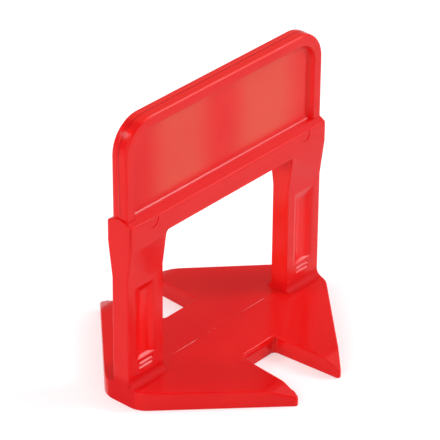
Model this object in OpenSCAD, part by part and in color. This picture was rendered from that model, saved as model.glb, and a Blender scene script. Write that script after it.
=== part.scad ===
// Tile levelling clip, moulded in one piece. The flat base slides under the edges of
// two tiles, the two legs stand in the joint between them, and a wedge pushed through
// the window presses the tiles level. A kick on the grip plate then breaks the legs off
// at their grooves. X runs along the joint, Y across it and Z up, and the origin lies
// under the middle of the base.

/* [Clip] */
// Width of the clip: base, legs and crossbar end flush with each other
clip_w = 34; // [33:0.1:36]
// Height of the whole clip
clip_h = 36.4; // [34:0.1:50]

/* [Base] */
// Width of the straight ends of the base
base_end_w = 5.1; // [3:0.1:8]
// Rounding of the corners beside the straight ends
base_end_r = 3; // [0.5:0.1:3.4]
// Thickness of the base under the frame
base_t = 2.45; // [2.25:0.05:4]
// Thickness of the base where its lead-in slopes begin
base_edge_t = 2.2; // [1.7:0.05:2.25]
// Length of the lead-in slope at each tip
lead_l = 2.9; // [1:0.1:5]
// Thickness left at the tips
tip_t = 0.95; // [0.5:0.05:1.5]
// Rounding of the tips, seen from above
tip_r = 0.35; // [0.1:0.05:0.5]

/* [Base notches] */
// Width of the base between its front and back notch
web_w = 12.4; // [8:0.1:16]
// Width of a notch at its inner edge
notch_w = 5.9; // [3:0.1:6.8]
// Width of a notch between the two tips
notch_mouth_w = 7.2; // [7:0.1:10]
// Rounding of the inner corners of a notch
notch_r = 0.6; // [0.2:0.05:1]
// Height of the fine ledge that runs round a notch
notch_ledge_z = 1.55; // [0.8:0.05:1.6]
// Width of that ledge
notch_ledge_w = 0.12; // [0.05:0.01:0.3]

/* [Frame] */
// Width of the wedge window
window_w = 22; // [18:0.1:23]
// Height of the wedge window above the base
window_h = 18.9; // [18.5:0.1:20]
// Rounding of the top corners of the window
window_r = 0.6; // [0.2:0.05:1.5]

/* [Legs] */
// Thickness of a leg, across the joint
leg_t = 2.4; // [2.2:0.05:2.8]
// Height of the taper between a leg and the crossbar
taper_h = 4.7; // [2:0.1:5.5]
// Radius of the fillet where a leg meets the base
foot_r = 0.9; // [0.5:0.05:1.1]
// Width of the rim between the leg's recess and the window
leg_inner_rim = 1.4; // [0.9:0.05:1.7]
// Width of the rim between the leg's recess and the outside
leg_outer_rim = 1.4; // [0.9:0.05:1.7]
// Height of the leg's recess above the base
leg_recess_lift = 3.2; // [3.1:0.05:4]
// Length of the leg's recess
leg_recess_h = 9.8; // [5:0.1:10]
// Depth of the leg's recess
leg_recess_d = 0.4; // [0.1:0.05:0.6]
// Run of the recess's two long walls, which slope
leg_recess_slope = 0.95; // [0.2:0.05:1.2]
// Run of the wall at the recess's lower end
leg_recess_end = 0.25; // [0.1:0.05:0.5]
// Run of the flatter wall at the recess's upper end
leg_recess_fade = 1; // [0.3:0.1:2]

/* [Break grooves] */
// Width of each of the grooves at which a leg snaps
groove_w = 0.3; // [0.2:0.05:0.4]
// Depth of a groove
groove_d = 0.15; // [0.05:0.05:0.3]
// Length of a groove along the joint
groove_l = 2.2; // [1.5:0.1:3]
// Distance from the recess to the first groove, and from one groove to the next
groove_pitch = 0.6; // [0.45:0.05:0.65]

/* [Crossbar] */
// Thickness of the crossbar, across the joint
bar_t = 3.7; // [3.1:0.1:5]
// Height of the crossbar's upright front face
bar_face_h = 2.55; // [2:0.05:4]
// Rounding of the crossbar's top edges
bar_edge_r = 0.3; // [0.1:0.05:0.4]
// Slope of the ledge above the front face, in degrees
ledge_slope = 28; // [5:1:35]
// Radius of the cove between the ledge and the panel
cove_r = 0.7; // [0.2:0.05:0.9]
// Diameter of the ejector pin marks
pin_d = 1.6; // [1:0.1:2.5]
// Depth of the ejector pin marks
pin_depth = 0.12; // [0.05:0.01:0.2]
// Distance of an ejector pin mark from the outside of the frame
pin_inset = 3.8; // [2:0.1:5]
// Distance of an ejector pin mark below the front face's top
pin_drop = 0.45; // [0.4:0.05:1.4]

/* [Grip plate] */
// How far the grip plate's side edges lie inside the ends of the crossbar
grip_inset = 0.05; // [0.05:0.05:0.3]
// Thickness of the grip plate at its rim
grip_t = 2.2; // [1.9:0.05:2.9]
// Rounding of the grip plate's top corners, seen from the front
grip_r = 4.1; // [3:0.1:6]
// Width of the rim round the panel
rim_w = 1.4; // [1:0.05:1.7]
// Rounding of the rim's outer edges
rim_edge_r = 0.3; // [0.1:0.05:0.35]
// Rounding of the rim's inner edge
lip_r = 0.15; // [0.05:0.05:0.25]
// Run of the sloping wall between rim and panel
rim_slope = 0.4; // [0.3:0.05:0.7]
// Rounding between that wall and the panel
panel_cove_r = 0.3; // [0.1:0.05:0.4]
// Thickness of the panel inside the rim
panel_t = 0.8; // [0.7:0.05:1.2]
// Slope of the rim's edge away from the mould's parting line, in degrees
edge_draft = 3; // [0.5:0.5:5]
// Place of the parting line, behind the middle of the rim's edge
parting_y = 0.25; // [0:0.05:0.3]
// Width of the fine groove along the parting line
parting_w = 0.2; // [0.1:0.02:0.3]
// Depth of that groove
parting_d = 0.06; // [0.02:0.01:0.1]

/* [Hidden] */

// Steps in which a small rounding is drawn
arc_steps = 6;
// Steps in which a large rounding is drawn
wide_arc_steps = 12;
// How far a cut runs past the face that it opens
over = window_w / 20;
// Grid that the points of the rim's profiles lie on, so that its parts meet exactly
grid = window_w / 22000;
// Facets of a full circle where a curve is shown as a mesh
$fn = 64;

base_half_l = clip_w / 2;
base_half_end = base_end_w / 2;
tip_x = notch_mouth_w / 2;
tip_y = base_half_end + base_half_l - tip_x;
notch_y = web_w / 2;
base_fall = (base_t - base_edge_t) / (tip_y - lead_l);
// How far the fillets of the feet run in below the base's top, so that the surfaces cross
foot_dip = foot_r / 40;

window_top_z = base_t + window_h;
taper_z = window_top_z - taper_h;
bar_edge_z = window_top_z + bar_face_h;
ledge_z = bar_edge_z + (bar_t / 2 - panel_t / 2) * tan(ledge_slope);

leg_recess_in = window_w / 2 + leg_inner_rim;
leg_recess_out = clip_w / 2 - leg_outer_rim;
leg_recess_z = base_t + leg_recess_lift;

NODE_COLOUR = [0.87, 0.14, 0.13];

// One unit long in the direction of v
function unit(v) = v / norm(v);

// The arc of radius r that rounds a corner between its two neighbours
function corner_arc(before, corner, after, r, steps) =
    let (
        u = unit(before - corner),
        v = unit(after - corner),
        half = acos(u * v) / 2,
        middle = corner + unit(u + v) * r / sin(half),
        start = corner + u * r / tan(half) - middle,
        first = atan2(start.y, start.x),
        turn = (cross(u, v) > 0 ? -1 : 1) * (180 - 2 * half)
    )
    [for (i = [0 : steps]) middle + r * [cos(first + turn * i / steps), sin(first + turn * i / steps)]];

// The outline through corners given as [x, y, radius], with each corner rounded
function rounded_outline(corners, steps) =
    let (n = len(corners))
    [
        for (i = [0 : n - 1])
            let (
                before = corners[(i + n - 1) % n],
                here = corners[i],
                after = corners[(i + 1) % n]
            )
            each here.z == 0
                ? [[here.x, here.y]]
                : corner_arc([before.x, before.y], [here.x, here.y], [after.x, after.y], here.z, steps)
    ];

// Corners on one side of an axis, followed by their mirror images in reverse order
function with_mirror_x(corners) =
    concat(corners, [for (i = [len(corners) - 1 : -1 : 0]) [-corners[i].x, corners[i].y, corners[i].z]]);

// The points of a profile moved to the nearest places on the grid
function on_grid(points) = [for (p = points) [grid * round(p.x / grid), grid * round(p.y / grid)]];

// Draws its 2D child in the YZ plane and runs it along X over a centred length
module along_x(length) {
    rotate([90, 0, 90])
        translate([0, 0, -length / 2])
            linear_extrude(length)
                children();
}

// Draws its 2D child in the XZ plane and runs it along Y over a centred length
module along_y(length) {
    rotate([90, 0, 0])
        translate([0, 0, -length / 2])
            linear_extrude(length)
                children();
}

// The base seen from above: a square on its corner, its end corners cut straight and a
// notch in its front and back corners
module base_plan() {
    quarter = [
        [base_half_l, base_half_end, base_end_r],
        [tip_x, tip_y, tip_r],
        [notch_w / 2, notch_y, notch_r]
    ];
    back = with_mirror_x(quarter);
    front = [for (i = [len(back) - 1 : -1 : 0]) [back[i].x, -back[i].y, back[i].z]];
    polygon(rounded_outline(concat(back, front), wide_arc_steps));
}

// The base seen from its end: thickest under the frame, thin at its two tips
module base_section() {
    half = [
        [tip_y + over, 0, 0],
        [tip_y + over, tip_t, 0],
        [tip_y, tip_t, 0],
        [tip_y - lead_l, base_edge_t, 0],
        [0, base_t, 0]
    ];
    polygon(rounded_outline(with_mirror_x(half), arc_steps));
}

// The cut that leaves the ledge in a notch: the notch, wider by the ledge on all sides
module notch_ledge_cut() {
    inner = notch_w / 2 + notch_ledge_w;
    mouth = tip_x + notch_ledge_w;
    flare = (notch_mouth_w - notch_w) / 2 / (tip_y - notch_y);
    half = [
        [inner, notch_y - notch_ledge_w, notch_r + notch_ledge_w],
        [mouth + over * flare, tip_y + over, 0]
    ];
    polygon(rounded_outline(with_mirror_x(half), arc_steps));
}

// Height of the base's top at a distance in front of or behind the frame's middle
function base_top(y) = base_t - base_fall * y;

module base() {
    difference() {
        intersection() {
            linear_extrude(base_t + over)
                base_plan();
            along_x(clip_w)
                base_section();
        }
        for (side = [0, 1])
            mirror([0, side, 0])
                translate([0, 0, notch_ledge_z])
                    linear_extrude(base_t)
                        notch_ledge_cut();
    }
}

// The arc that rounds the ledge into the panel, from the ledge up
function cove_arc() =
    corner_arc(
        [bar_t / 2, bar_edge_z],
        [panel_t / 2, ledge_z],
        [panel_t / 2, ledge_z + 2 * cove_r],
        cove_r,
        arc_steps
    );

// Legs and crossbar seen from the side: filleted feet, tapered shoulders, sloping ledge
module frame_section() {
    leg_y = leg_t / 2;
    foot_y = leg_y + 1.1 * foot_r;
    cove_start = cove_arc()[0];
    half = [
        [foot_y, base_edge_t / 2, 0],
        [foot_y, base_top(foot_y) - foot_dip, 0],
        [leg_y, base_top(leg_y) - foot_dip, foot_r],
        [leg_y, taper_z, 0],
        [bar_t / 2, window_top_z, 0],
        [bar_t / 2, bar_edge_z, bar_edge_r],
        [cove_start.x, cove_start.y, 0]
    ];
    polygon(rounded_outline(with_mirror_x(half), arc_steps));
}

// The cove and the foot of the panel, seen from the side, standing on the ledge
module cove_section() {
    arc = cove_arc();
    half = concat(
        [[arc[0].x / 2, arc[0].y - cove_r / 2, 0]],
        [for (p = arc) [p.x, p.y, 0]],
        [[panel_t / 2, ledge_z + 2 * cove_r, 0]]
    );
    polygon(rounded_outline(with_mirror_x(half), arc_steps));
}

// The wedge window seen from the front
module window_outline() {
    half = [
        [window_w / 2, 0, 0],
        [window_w / 2, window_top_z, window_r]
    ];
    polygon(rounded_outline(with_mirror_x(half), arc_steps));
}

// A slab between two heights with rounded top corners. Its edge follows the profile
// given as [inset from the outline, y], from back to front, along sides, corners and top.
module profiled_slab(width, bottom, top, r, profile) {
    back = profile[0].y;
    front = profile[len(profile) - 1].y;
    shoulder = top - r;
    right = [for (p = profile) [width / 2 - p.x, p.y]];
    left = [for (i = [len(right) - 1 : -1 : 0]) [-right[i].x, right[i].y]];
    translate([0, 0, bottom])
        linear_extrude(shoulder - bottom)
            polygon(concat(right, left));
    along_x(width - 2 * r)
        polygon(concat([[back, shoulder]], [for (p = profile) [p.y, top - p.x]], [[front, shoulder]]));
    for (side = [0, 1])
        mirror([side, 0, 0])
            translate([width / 2 - r, 0, shoulder])
                rotate([90, 0, 0])
                    rotate_extrude(angle = 90)
                        polygon(concat([[0, -back]], [for (p = profile) [r - p.x, -p.y]], [[0, -front]]));
}

// The rim's edge as [inset, y], from back to front: rounded, widest at the parting line
// and sloping in from it on both sides, with the fine parting groove in the middle
function rim_edge_profile() =
    let (
        face = grip_t / 2,
        flank = parting_w / 2,
        slope = tan(edge_draft),
        back_inset = (face - parting_y - flank) * slope,
        front_inset = (face + parting_y - flank) * slope,
        back_flank = [0, parting_y + flank],
        front_flank = [0, parting_y - flank]
    )
    on_grid(concat(
        corner_arc([rim_w, face], [back_inset, face], back_flank, rim_edge_r, arc_steps),
        [back_flank, [parting_d, parting_y], front_flank],
        corner_arc(front_flank, [front_inset, -face], [rim_w, -face], rim_edge_r, arc_steps)
    ));

// The cut that leaves the panel, as [inset, y]: lip, sloping wall and the panel's cove
function panel_cut_profile() =
    let (
        face = grip_t / 2,
        panel = panel_t / 2,
        lip = corner_arc([-rim_w, face], [0, face], [rim_slope, panel], lip_r, arc_steps),
        cove = corner_arc([0, face], [rim_slope, panel], [rim_slope + rim_w, panel], panel_cove_r, arc_steps)
    )
    on_grid(concat([[lip[0].x, face + over]], lip, cove));

// The grip plate: a rounded rim round a thinner panel
module grip_plate() {
    width = clip_w - 2 * grip_inset;
    difference() {
        profiled_slab(width, window_top_z + window_r, clip_h, grip_r, rim_edge_profile());
        for (side = [0, 1])
            mirror([0, side, 0])
                profiled_slab(
                    width - 2 * rim_w,
                    window_top_z,
                    clip_h - rim_w,
                    grip_r - rim_w,
                    panel_cut_profile()
                );
    }
}

// The shallow recess in the back of the right leg; mirrored for the other three faces
module leg_recess() {
    face = leg_t / 2;
    floor_y = face - leg_recess_d;
    top_z = leg_recess_z + leg_recess_h;
    intersection() {
        linear_extrude(top_z + over)
            polygon([
                [leg_recess_in, face + over], [leg_recess_out, face + over],
                [leg_recess_out, face], [leg_recess_out - leg_recess_slope, floor_y],
                [leg_recess_in + leg_recess_slope, floor_y], [leg_recess_in, face]
            ]);
        along_x(clip_w)
            polygon([
                [face + over, leg_recess_z], [face + over, top_z],
                [face, top_z], [floor_y, top_z - leg_recess_fade],
                [floor_y, leg_recess_z + leg_recess_end], [face, leg_recess_z]
            ]);
    }
}

// One of the V-shaped grooves at which the leg snaps, at this height
module break_groove(z) {
    face = leg_t / 2;
    translate([(leg_recess_in + leg_recess_out) / 2, 0, 0])
        along_x(groove_l)
            polygon([
                [face + over, z - groove_w / 2], [face + over, z + groove_w / 2],
                [face, z + groove_w / 2], [face - groove_d, z], [face, z - groove_w / 2]
            ]);
}

// The round mark that an ejector pin leaves at the top of the crossbar's front
module pin_mark() {
    translate([clip_w / 2 - pin_inset, -bar_t / 2 + pin_depth, bar_edge_z - pin_drop])
        rotate([90, 0, 0])
            cylinder(d = pin_d, h = over);
}

// Legs, crossbar and grip plate. The ends of legs and crossbar follow the base's outline,
// so that their outer faces run down flush into the base.
module frame() {
    difference() {
        union() {
            intersection() {
                along_x(clip_w)
                    frame_section();
                linear_extrude(clip_h)
                    base_plan();
            }
            along_x(clip_w - 2 * grip_inset - rim_w)
                cove_section();
            grip_plate();
        }
        along_y(2 * bar_t)
            window_outline();
        for (sx = [0, 1], sy = [0, 1])
            mirror([sx, 0, 0])
                mirror([0, sy, 0]) {
                    leg_recess();
                    for (i = [1, 2])
                        break_groove(leg_recess_z - i * groove_pitch);
                }
        for (sx = [0, 1])
            mirror([sx, 0, 0])
                pin_mark();
    }
}

module clip() {
    color(NODE_COLOUR) {
        base();
        frame();
    }
}

clip();
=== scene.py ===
import math
import bmesh
import bpy
import numpy as np
from mathutils import Matrix, Vector


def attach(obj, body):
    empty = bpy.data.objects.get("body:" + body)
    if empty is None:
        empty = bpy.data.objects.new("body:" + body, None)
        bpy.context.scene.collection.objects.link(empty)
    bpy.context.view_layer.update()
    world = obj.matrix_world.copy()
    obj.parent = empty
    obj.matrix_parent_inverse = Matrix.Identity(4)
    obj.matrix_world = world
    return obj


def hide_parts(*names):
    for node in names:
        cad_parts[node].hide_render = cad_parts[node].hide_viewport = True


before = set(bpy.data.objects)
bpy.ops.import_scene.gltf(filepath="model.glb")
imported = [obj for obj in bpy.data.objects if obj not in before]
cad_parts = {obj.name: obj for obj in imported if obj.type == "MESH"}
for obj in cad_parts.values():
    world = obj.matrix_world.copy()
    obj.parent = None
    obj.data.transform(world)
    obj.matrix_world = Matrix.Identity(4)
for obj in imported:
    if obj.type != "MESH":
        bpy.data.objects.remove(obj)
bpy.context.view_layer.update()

# A tile levelling clip: one moulding of glossy red plastic, on a white floor. The clip's
# lengths are written in millimetres and turned into metres by MM. The studio's are in metres.
MM = 0.001

# Places on the moulding that the roundings and the finish go by. W is a width along X, T a
# thickness along Y, and the names without either are heights.
CLIP_HALF_W = 17.0
WINDOW_HALF_W = 11.0
PANEL_HALF_W = 15.5
LEG_HALF_T = 1.2
BASE_TOP = 2.45
CROSSBAR_BOTTOM = 21.35
CROSSBAR_EDGE = 23.9
LEDGE_TOP = 24.7
CLIP_TOP = 36.4

# The notches: their ledge's height, where they end, where the lead-in slope starts, their
# half width at the end and at the tips, and a distance from the middle that holds all of one
NOTCH_LEDGE = 1.55
NOTCH_END_Y = 6.2
LEAD_IN_Y = 13.05
TIP_Y = 15.95
NOTCH_END_HALF_W = 2.95
TIP_HALF_W = 3.6
NOTCH_REACH = 4.0

# Where the colour, the painted light and shade, and the roughness change: the start and the end
# of each smooth step
STEPS = {
    "panel_side": (PANEL_HALF_W - 0.4, PANEL_HALF_W + 0.2),
    "panel_foot": (LEDGE_TOP, LEDGE_TOP + 1.2),
    "panel_head": (CLIP_TOP - 2.2, CLIP_TOP - 1.4),
    "foot_inner_side": (WINDOW_HALF_W - 0.3, WINDOW_HALF_W + 0.3),
    "foot_face": (1.8, 2.4),
    "foot_head": (2.9, 4.0),
    "hollow_inner_side": (WINDOW_HALF_W + 0.4, WINDOW_HALF_W + 0.8),
    "hollow_outer_side": (16.2, 16.6),
    "hollow_mouth": (1.0, LEG_HALF_T - 0.03),
    "hollow_foot": (4.4, 6.0),
    "hollow_head": (11.5, 16.0),
    "rim_wall_mouth": (0.9, 1.0),
    "rim_wall_foot": (LEDGE_TOP + 0.8, 27.0),
    "window_side": (WINDOW_HALF_W + 0.02, WINDOW_HALF_W + 0.12),
    "window_foot": (3.0, 6.0),
    "window_head": (CROSSBAR_BOTTOM - 3.0, CROSSBAR_BOTTOM - 0.5),
    "rim_top": (CLIP_TOP - 0.5, CLIP_TOP - 0.2),
    "parting_side": (0.05, 0.13),
    "parting_foot": (LEDGE_TOP, LEDGE_TOP + 0.3),
}

# Areas of the moulding in which the edges are rounded in their own way. Each is a range of
# the distance from the middle along X and along Y, and of the height.
FAR = 99.0
ANY = (-FAR, FAR)
AREAS = {
    "base": (ANY, ANY, (-FAR, BASE_TOP + 0.05)),
    "underside": (ANY, ANY, (-FAR, 0.05)),
    "foot_fillet": ((13.0, FAR), (-FAR, 2.3), (2.25, FAR)),
    "leg": (ANY, (-FAR, LEG_HALF_T + 0.05), (-FAR, CROSSBAR_BOTTOM - 4.8)),
    "recess": ((WINDOW_HALF_W + 0.5, CLIP_HALF_W - 0.8), ANY, (-FAR, 15.7)),
    "recess_foot": (ANY, ANY, (-FAR, 6.0)),
    "break_grooves": (ANY, ANY, (-FAR, 5.35)),
    "notch_ledge": ((-FAR, 3.8), (5.8, FAR), (1.4, 1.7)),
    "lead_in": (ANY, (LEAD_IN_Y - 0.1, LEAD_IN_Y + 0.1), (1.0, FAR)),
    "window_foot": ((WINDOW_HALF_W - 0.05, WINDOW_HALF_W + 0.05), ANY, (-FAR, BASE_TOP + 0.05)),
    "pin_mark": ((12.3, 14.1), (1.65, 1.95), (22.5, LEDGE_TOP)),
    "crossbar_curve": (ANY, (1.65, FAR), (CROSSBAR_EDGE - 0.3, CROSSBAR_EDGE + 0.1)),
    "clip_end": ((CLIP_HALF_W - 0.4, FAR), ANY, ANY),
    "grip": ((-FAR, CLIP_HALF_W - 0.02), (-FAR, 1.5), (CROSSBAR_EDGE + 0.2, FAR)),
}

# Radii of the mould's roundings
PLAIN_RADIUS = 0.16
OUTSIDE_RADIUS = 0.2
UNDERSIDE_RADIUS = 0.10
RECESS_RADIUS = 0.26
RECESS_FOOT_RADIUS = 0.06
LEAD_IN_RADIUS = 0.8

# Faces that turn by less than this many degrees are parts of one curve. The lead-in slopes
# turn by less too, but they are creases.
SMOOTH_TURN = 18
LEAD_IN_TURN = (3, 30)


class Wire:
    """An output in a material's node tree. Arithmetic on it adds Math nodes."""

    def __init__(self, tree, socket=None):
        self.tree = tree
        self.socket = socket

    def add(self, kind, settings=None, values=None, output=0):
        """A new node of this kind, with its settings made first, then the values or links of
        its sockets."""
        node = self.tree.nodes.new(kind)
        for name, value in (settings or {}).items():
            setattr(node, name, value)
        for name, value in (values or {}).items():
            if isinstance(value, Wire):
                self.tree.links.new(value.socket, node.inputs[name])
            else:
                node.inputs[name].default_value = value
        return Wire(self.tree, node.outputs[output]) if node.outputs else None

    def outputs(self, kind, names, values=None):
        """The named outputs of one new node of this kind."""
        first = self.add(kind, None, values)
        return [Wire(self.tree, first.socket.node.outputs[name]) for name in names]

    def maths(self, operation, *values):
        return self.add("ShaderNodeMath", {"operation": operation}, dict(enumerate(values)))

    def __add__(self, other):
        return self.maths("ADD", self, other)

    def __mul__(self, other):
        return self.maths("MULTIPLY", self, other)

    def __sub__(self, other):
        return self.maths("SUBTRACT", self, other)

    def __rsub__(self, other):
        return self.maths("SUBTRACT", other, self)

    def __truediv__(self, other):
        return self.maths("DIVIDE", self, other)

    def __abs__(self):
        return self.maths("ABSOLUTE", self)

    __radd__ = __add__
    __rmul__ = __mul__

    def step(self, start, end):
        """0 below start and 1 above end, with a smooth rise between them."""
        settings = {"interpolation_type": "SMOOTHSTEP", "clamp": True}
        # The value, the range that it comes from and the range that it goes to
        values = {0: self, 1: start, 2: end, 3: 0.0, 4: 1.0}
        return self.add("ShaderNodeMapRange", settings, values)

    def above(self, name):
        """1 above one of the STEPS and 0 below it."""
        return self.step(*STEPS[name])

    def below(self, name):
        """1 below one of the STEPS and 0 above it."""
        return 1 - self.step(*STEPS[name])

    def band(self, middle, half_width, soft):
        """1 within half_width of middle, fading to 0 over soft."""
        return 1 - abs(self - middle).step(half_width, half_width + soft)

    def noise(self, place, scale, detail, rough):
        values = {"Vector": place, "Scale": scale, "Detail": detail, "Roughness": rough}
        return self.add("ShaderNodeTexNoise", {"normalize": True}, values)

    def mix_colour(self, share, first, second):
        """The first colour, with this share of the second one in it."""
        settings = {"data_type": "RGBA", "blend_type": "MIX"}
        # Sockets 6 and 7 are a Mix node's two colours, and output 2 is their mixture
        return self.add("ShaderNodeMix", settings, {0: share, 6: first, 7: second}, output=2)


def new_material(name):
    """An empty material and a wire to its tree."""
    material = bpy.data.materials.new(name)
    material.use_nodes = True
    material.node_tree.nodes.clear()
    return material, Wire(material.node_tree)


def red_plastic():
    """Glossy red polypropylene: an even colour with faint flow patches, and fine orange peel.
    Painted light and shade lie on it. The thinner panel is painted more orange with lighter
    patches, for light that shines through it and is reflected from it. The feet are duller and
    carry painted shade. The hollows, the rim's inner walls and the window sides are painted a
    purer, brighter red, as if lit. The top of the rim is painted lighter, and a painted shade
    line runs along the parting line round the rim."""
    material, tree = new_material("red_moulded_plastic")
    place = tree.add("ShaderNodeTexCoord", output="Object")
    x, y, z = (axis / MM for axis in tree.outputs("ShaderNodeSeparateXYZ", "XYZ", {0: place}))

    flow = tree.noise(place, scale=90.0, detail=3.0, rough=0.45)
    cloud = tree.noise(place, scale=260.0, detail=2.0, rough=0.5)
    grain = tree.noise(place, scale=3200.0, detail=2.0, rough=0.6)
    peel = tree.noise(place, scale=1500.0, detail=1.0, rough=0.4)

    on_panel = abs(x).below("panel_side") * z.above("panel_foot") * z.below("panel_head")
    # Painted light: the panel's orange tint and its lighter patches at the left and the right
    # stand for light shining through the thin panel and reflected from it
    left_light_patch = x.band(middle=-7.0, half_width=1.5, soft=5.0)
    right_light_patch = x.band(middle=7.5, half_width=2.0, soft=5.0)
    glow = on_panel * (0.06 + 0.60 * (left_light_patch + right_light_patch) + 0.5 * (flow - 0.5))

    # Painted shade: the feet of the legs and the base just around them are painted darker; the
    # same mask also makes them rougher
    foot_shade_and_matt = abs(x).above("foot_inner_side") * abs(y).below("foot_face") * z.below("foot_head")
    # Painted light: the hollows in the legs are painted a brighter, purer red, as if more light
    # fell on them
    hollow_glow = abs(x).above("hollow_inner_side") * abs(x).below("hollow_outer_side")
    hollow_glow = hollow_glow * abs(y).below("hollow_mouth")
    hollow_glow = hollow_glow * z.above("hollow_foot") * z.below("hollow_head")
    # Painted light: the rim's inner side walls get the same brighter, purer painted red
    rim_wall_glow = abs(x).band(middle=PANEL_HALF_W + 0.1, half_width=0.2, soft=0.1)
    rim_wall_glow = rim_wall_glow * abs(y).below("rim_wall_mouth") * z.above("rim_wall_foot")
    # Painted light: the legs' sides that face into the window are painted a brighter, purer red
    window_side_glow = abs(x).below("window_side") * z.above("window_foot") * z.below("window_head")
    # Painted light: the top of the rim is painted a lighter red
    rim_top_light = z.above("rim_top")
    # Painted shade: the fine groove of the parting line round the rim is painted darker,
    # standing in for the shade in it
    parting_shade = abs(y).below("parting_side") * z.above("parting_foot")

    # Of these reds, the panel, hollow, window and rim-top ones are painted light, and the foot
    # and parting ones are painted shade
    deep_red = (0.78, 0.004, 0.005, 1.0)
    plain_red = (0.81, 0.008, 0.007, 1.0)
    foot_shade_red = (0.68, 0.003, 0.005, 1.0)
    panel_glow_red = (0.78, 0.095, 0.052, 1.0)
    hollow_glow_red = (0.94, 0.004, 0.002, 1.0)
    window_glow_red = (0.93, 0.022, 0.014, 1.0)
    rim_top_light_red = (0.90, 0.024, 0.018, 1.0)
    parting_shade_red = (0.42, 0.002, 0.003, 1.0)
    clouded = (flow * 0.7 + cloud * 0.3).step(0.35, 0.65)
    colour = tree.mix_colour(clouded, deep_red, plain_red)
    for share, red in (
        (0.8 * foot_shade_and_matt, foot_shade_red),
        (glow, panel_glow_red),
        (0.7 * tree.maths("MAXIMUM", hollow_glow, rim_wall_glow), hollow_glow_red),
        (0.8 * window_side_glow, window_glow_red),
        (0.8 * rim_top_light, rim_top_light_red),
        (0.5 * parting_shade, parting_shade_red),
    ):
        colour = tree.mix_colour(share, colour, red)

    even_gloss = 0.19
    rough = even_gloss + 0.08 * (cloud - 0.5) + 0.04 * (grain - 0.5) + 0.45 * foot_shade_and_matt
    bump = tree.add("ShaderNodeBump", None, {
        "Strength": 0.06,
        "Distance": 0.05 * MM,
        "Height": 0.6 * peel + 0.4 * grain,
    })
    shader = tree.add("ShaderNodeBsdfPrincipled", {"subsurface_method": "RANDOM_WALK"}, {
        "Base Color": colour,
        "Roughness": rough,
        "IOR": 1.49,
        "Specular IOR Level": 0.2,
        "Subsurface Weight": 0.25,
        "Subsurface Radius": (1.0, 0.12, 0.08),
        "Subsurface Scale": 0.9 * MM,
        "Normal": bump,
    })
    tree.add("ShaderNodeOutputMaterial", None, {"Surface": shader})
    return material


def white_floor():
    """A matt white table top. It glows a little to the camera and in reflections, so that it
    is seen as plain white, but lights nothing."""
    material, tree = new_material("matt_white_floor")
    place = tree.add("ShaderNodeTexCoord", output="Object")
    tone = tree.noise(place, scale=12.0, detail=3.0, rough=0.5)
    colour = tree.mix_colour(tone, (0.86, 0.86, 0.86, 1.0), (0.88, 0.88, 0.88, 1.0))
    kinds = ("Is Camera Ray", "Is Glossy Ray", "Is Transmission Ray")
    camera_ray, glossy_ray, clear_ray = tree.outputs("ShaderNodeLightPath", kinds)
    seen = tree.maths("MAXIMUM", camera_ray, tree.maths("MAXIMUM", glossy_ray, clear_ray))
    dark, glow = (0.0, 0.0, 0.0, 1.0), (0.36, 0.36, 0.36, 1.0)
    shader = tree.add("ShaderNodeBsdfPrincipled", None, {
        "Base Color": colour,
        "Roughness": 0.75,
        "Specular IOR Level": 0.2,
        "Emission Color": tree.mix_colour(seen, dark, glow),
        "Emission Strength": 1.0,
    })
    tree.add("ShaderNodeOutputMaterial", None, {"Surface": shader})
    return material


def mesh_object(name, mesh, material):
    """An object at the origin that carries this mesh and material."""
    thing = bpy.data.objects.new(name, mesh)
    bpy.context.scene.collection.objects.link(thing)
    mesh.materials.clear()
    mesh.materials.append(material)
    return thing


def edge_turns(mesh):
    """Each edge's turn, which is the angle in degrees between the normals of its two faces."""
    corner_edge = np.empty(len(mesh.loops), int)
    mesh.loops.foreach_get("edge_index", corner_edge)
    face_size = np.empty(len(mesh.polygons), int)
    mesh.polygons.foreach_get("loop_total", face_size)
    normal = np.empty(len(mesh.polygons) * 3)
    mesh.polygons.foreach_get("normal", normal)
    normal = normal.reshape(-1, 3)
    corner_face = np.repeat(np.arange(len(face_size)), face_size)
    pair = corner_face[np.argsort(corner_edge, kind="stable")].reshape(-1, 2)
    first, second = normal[pair[:, 0]], normal[pair[:, 1]]
    return np.degrees(np.arccos(np.clip((first * second).sum(1), -1, 1)))


def edge_middles(mesh):
    """The middle of each edge, in millimetres."""
    ends = np.empty(len(mesh.edges) * 2, int)
    mesh.edges.foreach_get("vertices", ends)
    place = np.empty(len(mesh.vertices) * 3)
    mesh.vertices.foreach_get("co", place)
    return place.reshape(-1, 3)[ends.reshape(-1, 2)].mean(1) / MM


def edge_roundings(mesh):
    """The radius in millimetres of each edge's rounding, and the edge's turn. An edge's middle
    says which area of the moulding it is in."""
    turn = edge_turns(mesh)
    place = edge_middles(mesh)
    place[:, :2] = np.abs(place[:, :2])

    def is_in(name):
        low, high = np.transpose(AREAS[name])
        return ((place > low) & (place < high)).all(1)

    on_base = is_in("base") & ~is_in("foot_fillet")
    in_recess = is_in("leg") & ~on_base & is_in("recess")
    at_end = is_in("clip_end")
    kept_sharp = (
        (in_recess & is_in("break_grooves"))
        | (on_base & is_in("notch_ledge"))
        | is_in("pin_mark")
        | is_in("grip")
        | is_in("window_foot")
    )
    # The crossbar's top edge is already round in the CAD
    turn[is_in("crossbar_curve") & ~at_end & ~is_in("pin_mark")] = 0

    radius = np.full(len(turn), PLAIN_RADIUS)
    radius[at_end | on_base] = OUTSIDE_RADIUS
    radius[on_base & is_in("underside")] = UNDERSIDE_RADIUS
    radius[in_recess] = RECESS_RADIUS
    radius[in_recess & is_in("recess_foot")] = RECESS_FOOT_RADIUS
    radius[kept_sharp] = 0
    radius[turn < SMOOTH_TURN] = 0
    least, most = LEAD_IN_TURN
    radius[on_base & is_in("lead_in") & (turn > least) & (turn < most)] = LEAD_IN_RADIUS
    return radius, turn


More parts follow.
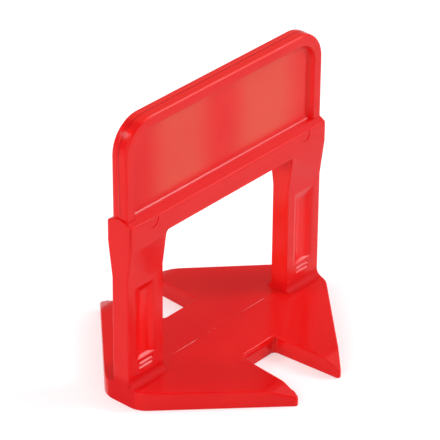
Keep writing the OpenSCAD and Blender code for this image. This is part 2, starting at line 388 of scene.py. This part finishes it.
def on_crossbar_end(edge):
    """Whether an edge is an upright one between two strips of the crossbar's slightly curved
    end."""
    low, high = (vert.co / MM for vert in edge.verts)
    upright = (low.xy - high.xy).length < 0.01
    at_end = abs(low.x) > CLIP_HALF_W - 0.15 and min(low.z, high.z) > CROSSBAR_BOTTOM - 5
    return upright and at_end and edge.calc_face_angle(0) < math.radians(6)


def thin_out_crossbar_corners(solid):
    """Leaves four points on each rounded top corner of the crossbar's ends. The end narrows by
    END_FALL (y - FALL_START) / (FALL_END - FALL_START)."""
    end_fall, fall_start, fall_end = 0.051, 1.307, 1.85
    corner_points = ((1.85, 23.72), (1.831, 23.826), (1.775, 23.918), (1.691, 23.984))
    kept = [Vector(place) for place in corner_points]
    least_y, lowest, highest = 1.68, CROSSBAR_EDGE - 0.2, CROSSBAR_EDGE + 0.1
    moved = []
    for vert in solid.verts:
        x, y, z = vert.co / MM
        if abs(x) > CLIP_HALF_W - 0.1 and abs(y) > least_y and lowest < z < highest:
            here = Vector((abs(y), z))
            near = min(kept, key=lambda place: (place - here).length)
            end = CLIP_HALF_W - end_fall * (near.x - fall_start) / (fall_end - fall_start)
            vert.co = Vector((math.copysign(end, x), math.copysign(near.x, y), near.y)) * MM
            moved.append(vert)
    bmesh.ops.remove_doubles(solid, verts=moved, dist=0.01 * MM)


def soften_notch_ledges(solid):
    """The fine ledge in a notch becomes a chamfer along the notch's end and runs out round its
    corners, so that the side walls are plain from the end to the tips."""
    corner_start, corner_length = 0.1, 0.5
    raised = 0.15 * MM

    def on_ledge(vert):
        at_height = abs(vert.co.z - NOTCH_LEDGE * MM) < 0.02 * MM
        return at_height and abs(vert.co.x) < NOTCH_REACH * MM

    def ledge_faces():
        return [face for face in solid.faces if all(on_ledge(vert) for vert in face.verts)]

    def is_over(high, low):
        return high.co.z > low.co.z + 0.3 * MM

    def in_outer_rim(vert):
        return any(is_over(edge.other_vert(vert), vert) for edge in vert.link_edges)

    def on_wall(vert):
        in_reach = abs(vert.co.x) < NOTCH_REACH * MM
        return in_reach and abs(vert.co.y) > (NOTCH_END_Y - 0.2) * MM

    bmesh.ops.triangulate(solid, faces=ledge_faces())
    rim = list(dict.fromkeys(vert for face in ledge_faces() for vert in face.verts))
    outer = [vert for vert in rim if in_outer_rim(vert)]
    inner = [vert for vert in rim if vert not in outer]
    shifts, rises = {}, {}
    for vert in outer:
        twin = min(inner, key=lambda other: (other.co - vert.co).length)
        past_corner = (abs(vert.co.y) / MM - NOTCH_END_Y - corner_start) / corner_length
        share = min(1, max(0, past_corner))
        shifts[vert] = (twin.co - vert.co) * share
        rises[vert] = raised * (1 - share)
        for edge in vert.link_edges:
            above = edge.other_vert(vert)
            straight = (above.co.xy - vert.co.xy).length < 0.05 * MM
            if straight and is_over(above, vert):
                shifts[above] = shifts[vert].copy()
    for vert, shift in shifts.items():
        vert.co += shift
        vert.co.z += rises.get(vert, 0)

    # The corner where the lead-in slope starts moves onto the straight line from end to tip
    spread = (TIP_HALF_W - NOTCH_END_HALF_W) / (TIP_Y - NOTCH_END_Y)
    for vert in solid.verts:
        x, y, z = vert.co / MM
        above_ledge = abs(x) < NOTCH_REACH and z > NOTCH_LEDGE + 0.1
        if above_ledge and abs(abs(y) - LEAD_IN_Y) < 0.05:
            vert.co.x = math.copysign(TIP_HALF_W - (TIP_Y - abs(y)) * spread, x) * MM
    bmesh.ops.remove_doubles(solid, verts=rim, dist=0.004 * MM)
    walls = [edge for edge in solid.edges if all(on_wall(vert) for vert in edge.verts)]
    bmesh.ops.dissolve_limit(solid, angle_limit=math.radians(0.5), verts=[], edges=walls)


def lift_pin_marks(solid):
    """The pin marks are only just sunk: their floor comes forward and ends under the
    crossbar's rounded edge."""
    floor_y, lift, roof = 1.73, 0.04, CROSSBAR_EDGE + 0.0425
    for vert in solid.verts:
        x, y, z = vert.co / MM
        on_floor = abs(y + floor_y) < 0.02 and CROSSBAR_BOTTOM < z < LEDGE_TOP
        if on_floor and 12 < abs(x) < 14.4:
            vert.co.y = -(floor_y + lift) * MM
            vert.co.z = min(vert.co.z, roof * MM)


def set_back_rim_feet(solid):
    """The foot of the rim's side stands back a little, so that the crossbar's end has room to
    be rounded."""
    foot_x, rim_half_t = 16.74, 1.3
    for vert in solid.verts:
        x, y, z = vert.co / MM
        on_foot = CROSSBAR_EDGE < z < LEDGE_TOP and abs(y) < rim_half_t
        if on_foot and foot_x < abs(x) < CLIP_HALF_W - 0.02:
            vert.co.x = math.copysign(foot_x * MM, x)


def rounded_moulding(cad, material):
    """A closed copy of the CAD solid: its doubles are merged, its flat faces joined, and each
    edge that a mould can't leave sharp is rounded by its own radius."""
    solid = bmesh.new()
    solid.from_mesh(cad.data)
    same_place, flat = 0.002 * MM, math.radians(0.3)
    bmesh.ops.remove_doubles(solid, verts=solid.verts, dist=same_place)
    thin_out_crossbar_corners(solid)
    bmesh.ops.dissolve_degenerate(solid, edges=solid.edges[:], dist=same_place)
    bmesh.ops.dissolve_limit(solid, angle_limit=flat, verts=solid.verts[:], edges=solid.edges[:])
    strips = [edge for edge in solid.edges if on_crossbar_end(edge)]
    bmesh.ops.dissolve_edges(solid, edges=strips, use_verts=True, use_face_split=False)
    spare = [vert for vert in solid.verts if len(vert.link_edges) == 2]
    bmesh.ops.dissolve_verts(solid, verts=spare)
    soften_notch_ledges(solid)
    lift_pin_marks(solid)
    set_back_rim_feet(solid)
    mesh = bpy.data.meshes.new("clip_body")
    solid.to_mesh(mesh)
    solid.free()

    radius, turn = edge_roundings(mesh)
    widest = radius.max()
    weight = mesh.attributes.new("bevel_weight_edge", "FLOAT", "EDGE")
    weight.data.foreach_set("value", (radius / widest).astype(np.float32))
    sharp = mesh.attributes.new("sharp_edge", "BOOLEAN", "EDGE")
    sharp.data.foreach_set("value", (radius == 0) & (turn > SMOOTH_TURN))
    mesh.polygons.foreach_set("use_smooth", np.ones(len(mesh.polygons), bool))

    body = mesh_object("clip_body", mesh, material)
    bevel = body.modifiers.new("mould_roundings", "BEVEL")
    bevel.limit_method = "WEIGHT"
    bevel.offset_type = "OFFSET"
    bevel.width = widest * MM
    bevel.segments = 3
    bevel.use_clamp_overlap = False
    normals = body.modifiers.new("even_shading", "WEIGHTED_NORMAL")
    normals.mode = "FACE_AREA"
    normals.weight = 100
    normals.keep_sharp = True
    return body


def witness_line(material):
    """The fine raised line that the mould's joint leaves along the top of the base, in four
    pieces. With s from 0 to 1 along a piece and t from -1 to 1 across it, y = HALF_T t and
    z = BASE_TOP - SUNK + HEIGHT (1 - t^2) min(1, 3 s, 3 (1 - s))."""
    height, half_t, sunk = 0.065, 0.085, 0.005
    pieces = [(-9.2, -2.3), (-1.9, -1.5), (-0.9, -0.6), (2.5, 10.4)]
    points_along, points_across = 25, 7
    s, t = np.meshgrid(
        np.linspace(0, 1, points_along), np.linspace(-1, 1, points_across), indexing="ij")
    rise = height * (1 - t ** 2) * np.minimum(1, 3 * np.minimum(s, 1 - s))
    index = np.arange(s.size).reshape(s.shape)
    quads = np.stack([index[:-1, :-1], index[1:, :-1], index[1:, 1:], index[:-1, 1:]], -1)
    places, faces = [], []
    for number, (start, end) in enumerate(pieces):
        grid = np.stack([start + (end - start) * s, half_t * t, BASE_TOP - sunk + rise], -1) * MM
        places.append(grid.reshape(-1, 3))
        faces.append(quads.reshape(-1, 4) + number * s.size)
    mesh = bpy.data.meshes.new("witness_line")
    mesh.from_pydata(np.concatenate(places).tolist(), [], np.concatenate(faces).tolist())
    mesh.polygons.foreach_set("use_smooth", np.ones(len(mesh.polygons), bool))
    return mesh_object("witness_line", mesh, material)


def add_lamp(name, place, aim, size, power, tint):
    """A rectangular soft box at a place, turned towards its aim."""
    light = bpy.data.lights.new(name, "AREA")
    light.shape = "RECTANGLE"
    light.size, light.size_y = size
    light.energy = power
    light.color = tint
    lamp = bpy.data.objects.new(name, light)
    bpy.context.scene.collection.objects.link(lamp)
    lamp.location = place
    lamp.rotation_euler = (Vector(aim) - Vector(place)).to_track_quat("-Z", "Y").to_euler()


def add_camera():
    """The camera of the photograph: its direction, roll, distance and lens. It aims at a point
    a little to the right of the clip's axis, about half way up."""
    azimuth, elevation, roll = (math.radians(a) for a in (-49.076, 30.628, 0.492))
    distance, aim_right, aim_height = 332.104, 0.087, 17.032
    back = Vector((
        math.sin(azimuth) * math.cos(elevation),
        -math.cos(azimuth) * math.cos(elevation),
        math.sin(elevation),
    ))
    across = Vector((math.cos(azimuth), math.sin(azimuth), 0))
    aim = (across * aim_right + Vector((0, 0, aim_height))) * MM
    turned = across * math.cos(roll) + back.cross(across) * math.sin(roll)
    upward = back.cross(turned)
    camera = bpy.data.objects.new("camera", bpy.data.cameras.new("camera"))
    bpy.context.scene.collection.objects.link(camera)
    axes = Matrix((turned, upward, back)).transposed().to_4x4()
    camera.matrix_world = Matrix.Translation(aim + back * distance * MM) @ axes
    camera.data.sensor_width = 36
    camera.data.lens = 234.31
    camera.data.clip_start = 0.01
    bpy.context.scene.camera = camera


def add_studio():
    """The floor, the soft boxes and the even light of the room."""
    mesh = bpy.data.meshes.new("floor")
    half, just_under = 3.0, -0.00002
    corners = [(-half, -half, 0), (half, -half, 0), (half, half, 0), (-half, half, 0)]
    mesh.from_pydata(corners, [], [(0, 1, 2, 3)])
    floor = mesh_object("floor", mesh, white_floor())
    floor.location.z = just_under

    middle = (0, 0, 0.018)
    white, cool = (1.0, 1.0, 1.0), (0.94, 0.96, 1.0)
    # Each soft box's name, place, width and height, power in watts, and tint
    for name, place, size, power, tint in (
        ("soft_box_right", (0.42, -0.40, 0.36), (0.14, 0.20), 1.3, cool),
        ("wide_box_right", (0.42, -0.40, 0.36), (0.50, 0.50), 1.1, cool),
        ("soft_box_left", (-0.60, -0.20, 0.30), (0.50, 0.50), 1.9, white),
        ("soft_box_back", (-0.36, 0.34, 0.36), (0.17, 0.17), 0.8, cool),
        ("soft_box_high", (0.60, -0.08, 0.70), (0.40, 0.40), 0.5, cool),
    ):
        add_lamp(name, place, middle, size, power, tint)

    world = bpy.data.worlds.new("room")
    bpy.context.scene.world = world
    world.use_nodes = True
    backdrop = world.node_tree.nodes["Background"]
    backdrop.inputs["Color"].default_value = (1.0, 1.0, 1.0, 1.0)
    backdrop.inputs["Strength"].default_value = 0.42


bpy.context.scene.view_settings.view_transform = "Standard"
add_camera()
add_studio()

plastic = red_plastic()
body = rounded_moulding(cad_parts["clip"], plastic)
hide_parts("clip")
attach(body, "root")
line = witness_line(plastic)
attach(line, "root")
